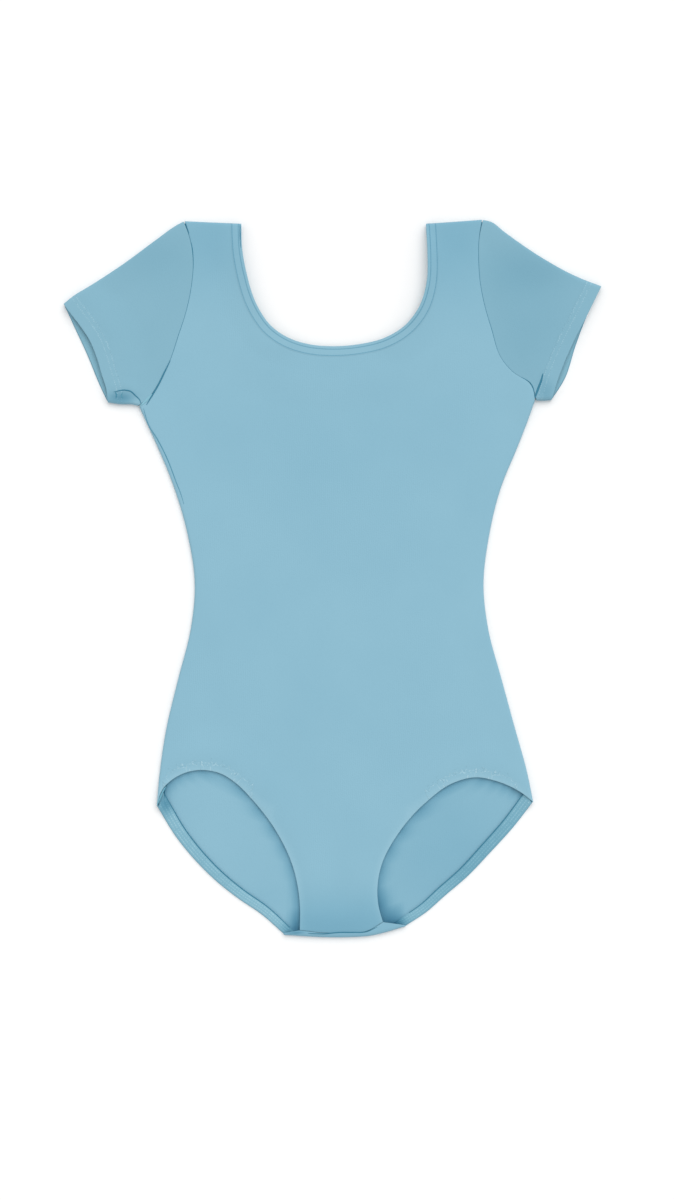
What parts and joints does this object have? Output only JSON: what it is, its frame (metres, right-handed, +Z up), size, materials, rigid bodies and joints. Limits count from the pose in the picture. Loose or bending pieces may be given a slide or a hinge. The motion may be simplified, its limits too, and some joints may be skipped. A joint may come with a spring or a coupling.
{
  "type": "leotard",
  "caption": "Child's short-sleeved dance leotard in pale blue jersey with a scoop neck and elastic leg edges, laid flat on its back with the front up.",
  "frame": {"origin": "under the middle of the garment's box, on the surface that it lies on", "axes": "+Z up, +Y from the crotch towards the neck, +X across the garment, to the right of someone who looks down at its front"},
  "size_m": [0.3867, 0.5162, 0.0057],
  "materials": {
    "body_jersey": "matt cotton and elastane single jersey, pale dusty blue",
    "sleeve_jersey": "matt cotton and elastane single jersey, pale dusty blue",
    "turned_edge_jersey": "the same jersey turned over elastic and coverstitched"
  },
  "bodies": {
    "root": {"front": "body_jersey", "back": "body_jersey", "sleeve_left": "sleeve_jersey", "sleeve_right": "sleeve_jersey", "neck_band_front": "turned_edge_jersey", "neck_band_back": "turned_edge_jersey", "leg_band_left_front": "turned_edge_jersey", "leg_band_left_back": "turned_edge_jersey", "leg_band_right_front": "turned_edge_jersey", "leg_band_right_back": "turned_edge_jersey", "cuff_hem_left": "turned_edge_jersey", "cuff_hem_right": "turned_edge_jersey"}
  },
  "joints": []
}
